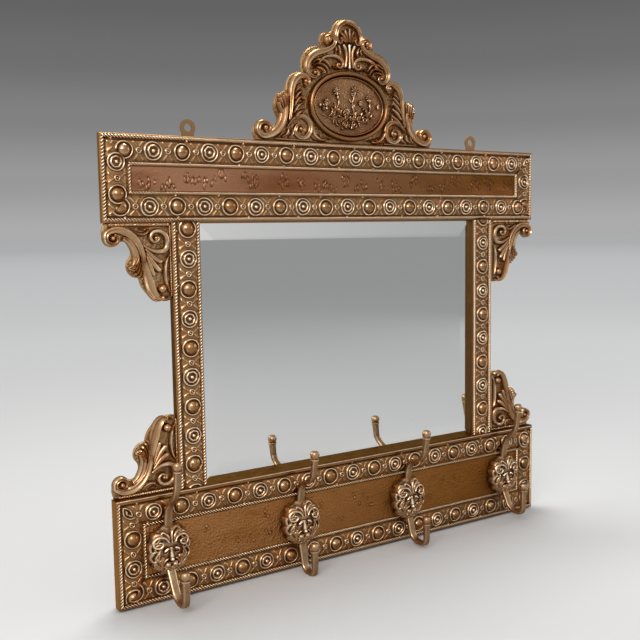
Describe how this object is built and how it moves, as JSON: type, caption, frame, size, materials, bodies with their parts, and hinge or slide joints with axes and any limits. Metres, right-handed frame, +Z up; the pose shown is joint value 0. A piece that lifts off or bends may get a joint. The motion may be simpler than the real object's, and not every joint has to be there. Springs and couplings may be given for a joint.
{
  "type": "hall mirror with coat hooks",
  "caption": "Wall-hung hall mirror in a frame of pressed brass strips with a scrolled crest, corner brackets, a bevelled plate and lion-mask coat hooks on its base rail.",
  "frame": {"origin": "On the wall, midway between the centres of the holes of the two hanging eyes.", "axes": "X runs along the wall to the right as seen from the front, Y goes into the wall, Z is up. The whole object lies at Y below zero."},
  "size_m": [0.5728, 0.0672, 0.6058],
  "materials": {
    "pressed_brass": "aged pressed sheet brass, bright on the high points and dark in the hollows",
    "copper_sheet": "aged sheet with a coppery brown tone, lightly punched and pitted",
    "cast_brass": "cast brass, worn bright on the ridges with dark wax in the recesses",
    "wood": "dark stained softwood",
    "back_wood": "plain thin back panel, unpolished",
    "mirror": "silvered plate glass with a flat bevel",
    "steel": "dull steel screws"
  },
  "bodies": {
    "root": {"backboard_screws": "steel", "base_board": "wood", "base_bottom_border": "pressed_brass", "base_left_border": "pressed_brass", "base_panel": "copper_sheet", "base_right_border": "pressed_brass", "base_top_border": "pressed_brass", "crest_board": "wood", "crest_skin": "pressed_brass", "frame_dowels": "wood", "hanging_eye_screws": "steel", "header_board": "wood", "header_bottom_border": "pressed_brass", "header_left_border": "pressed_brass", "header_panel": "copper_sheet", "header_right_border": "pressed_brass", "header_top_border": "pressed_brass", "hook_1": "cast_brass", "hook_2": "cast_brass", "hook_3": "cast_brass", "hook_4": "cast_brass", "hook_screws": "steel", "left_hanging_eye": "cast_brass", "left_stile_board": "wood", "left_stile_border": "pressed_brass", "lower_left_bracket_board": "wood", "lower_left_bracket_skin": "pressed_brass", "lower_right_bracket_board": "wood", "lower_right_bracket_skin": "pressed_brass", "medallion_plaque": "copper_sheet", "medallion_rim": "pressed_brass", "mirror_backboard": "back_wood", "mirror_plate": "mirror", "right_hanging_eye": "cast_brass", "right_stile_board": "wood", "right_stile_border": "pressed_brass", "trim_dowels": "wood", "upper_left_bracket_board": "wood", "upper_left_bracket_skin": "pressed_brass", "upper_right_bracket_board": "wood", "upper_right_bracket_skin": "pressed_brass"}
  },
  "joints": []
}
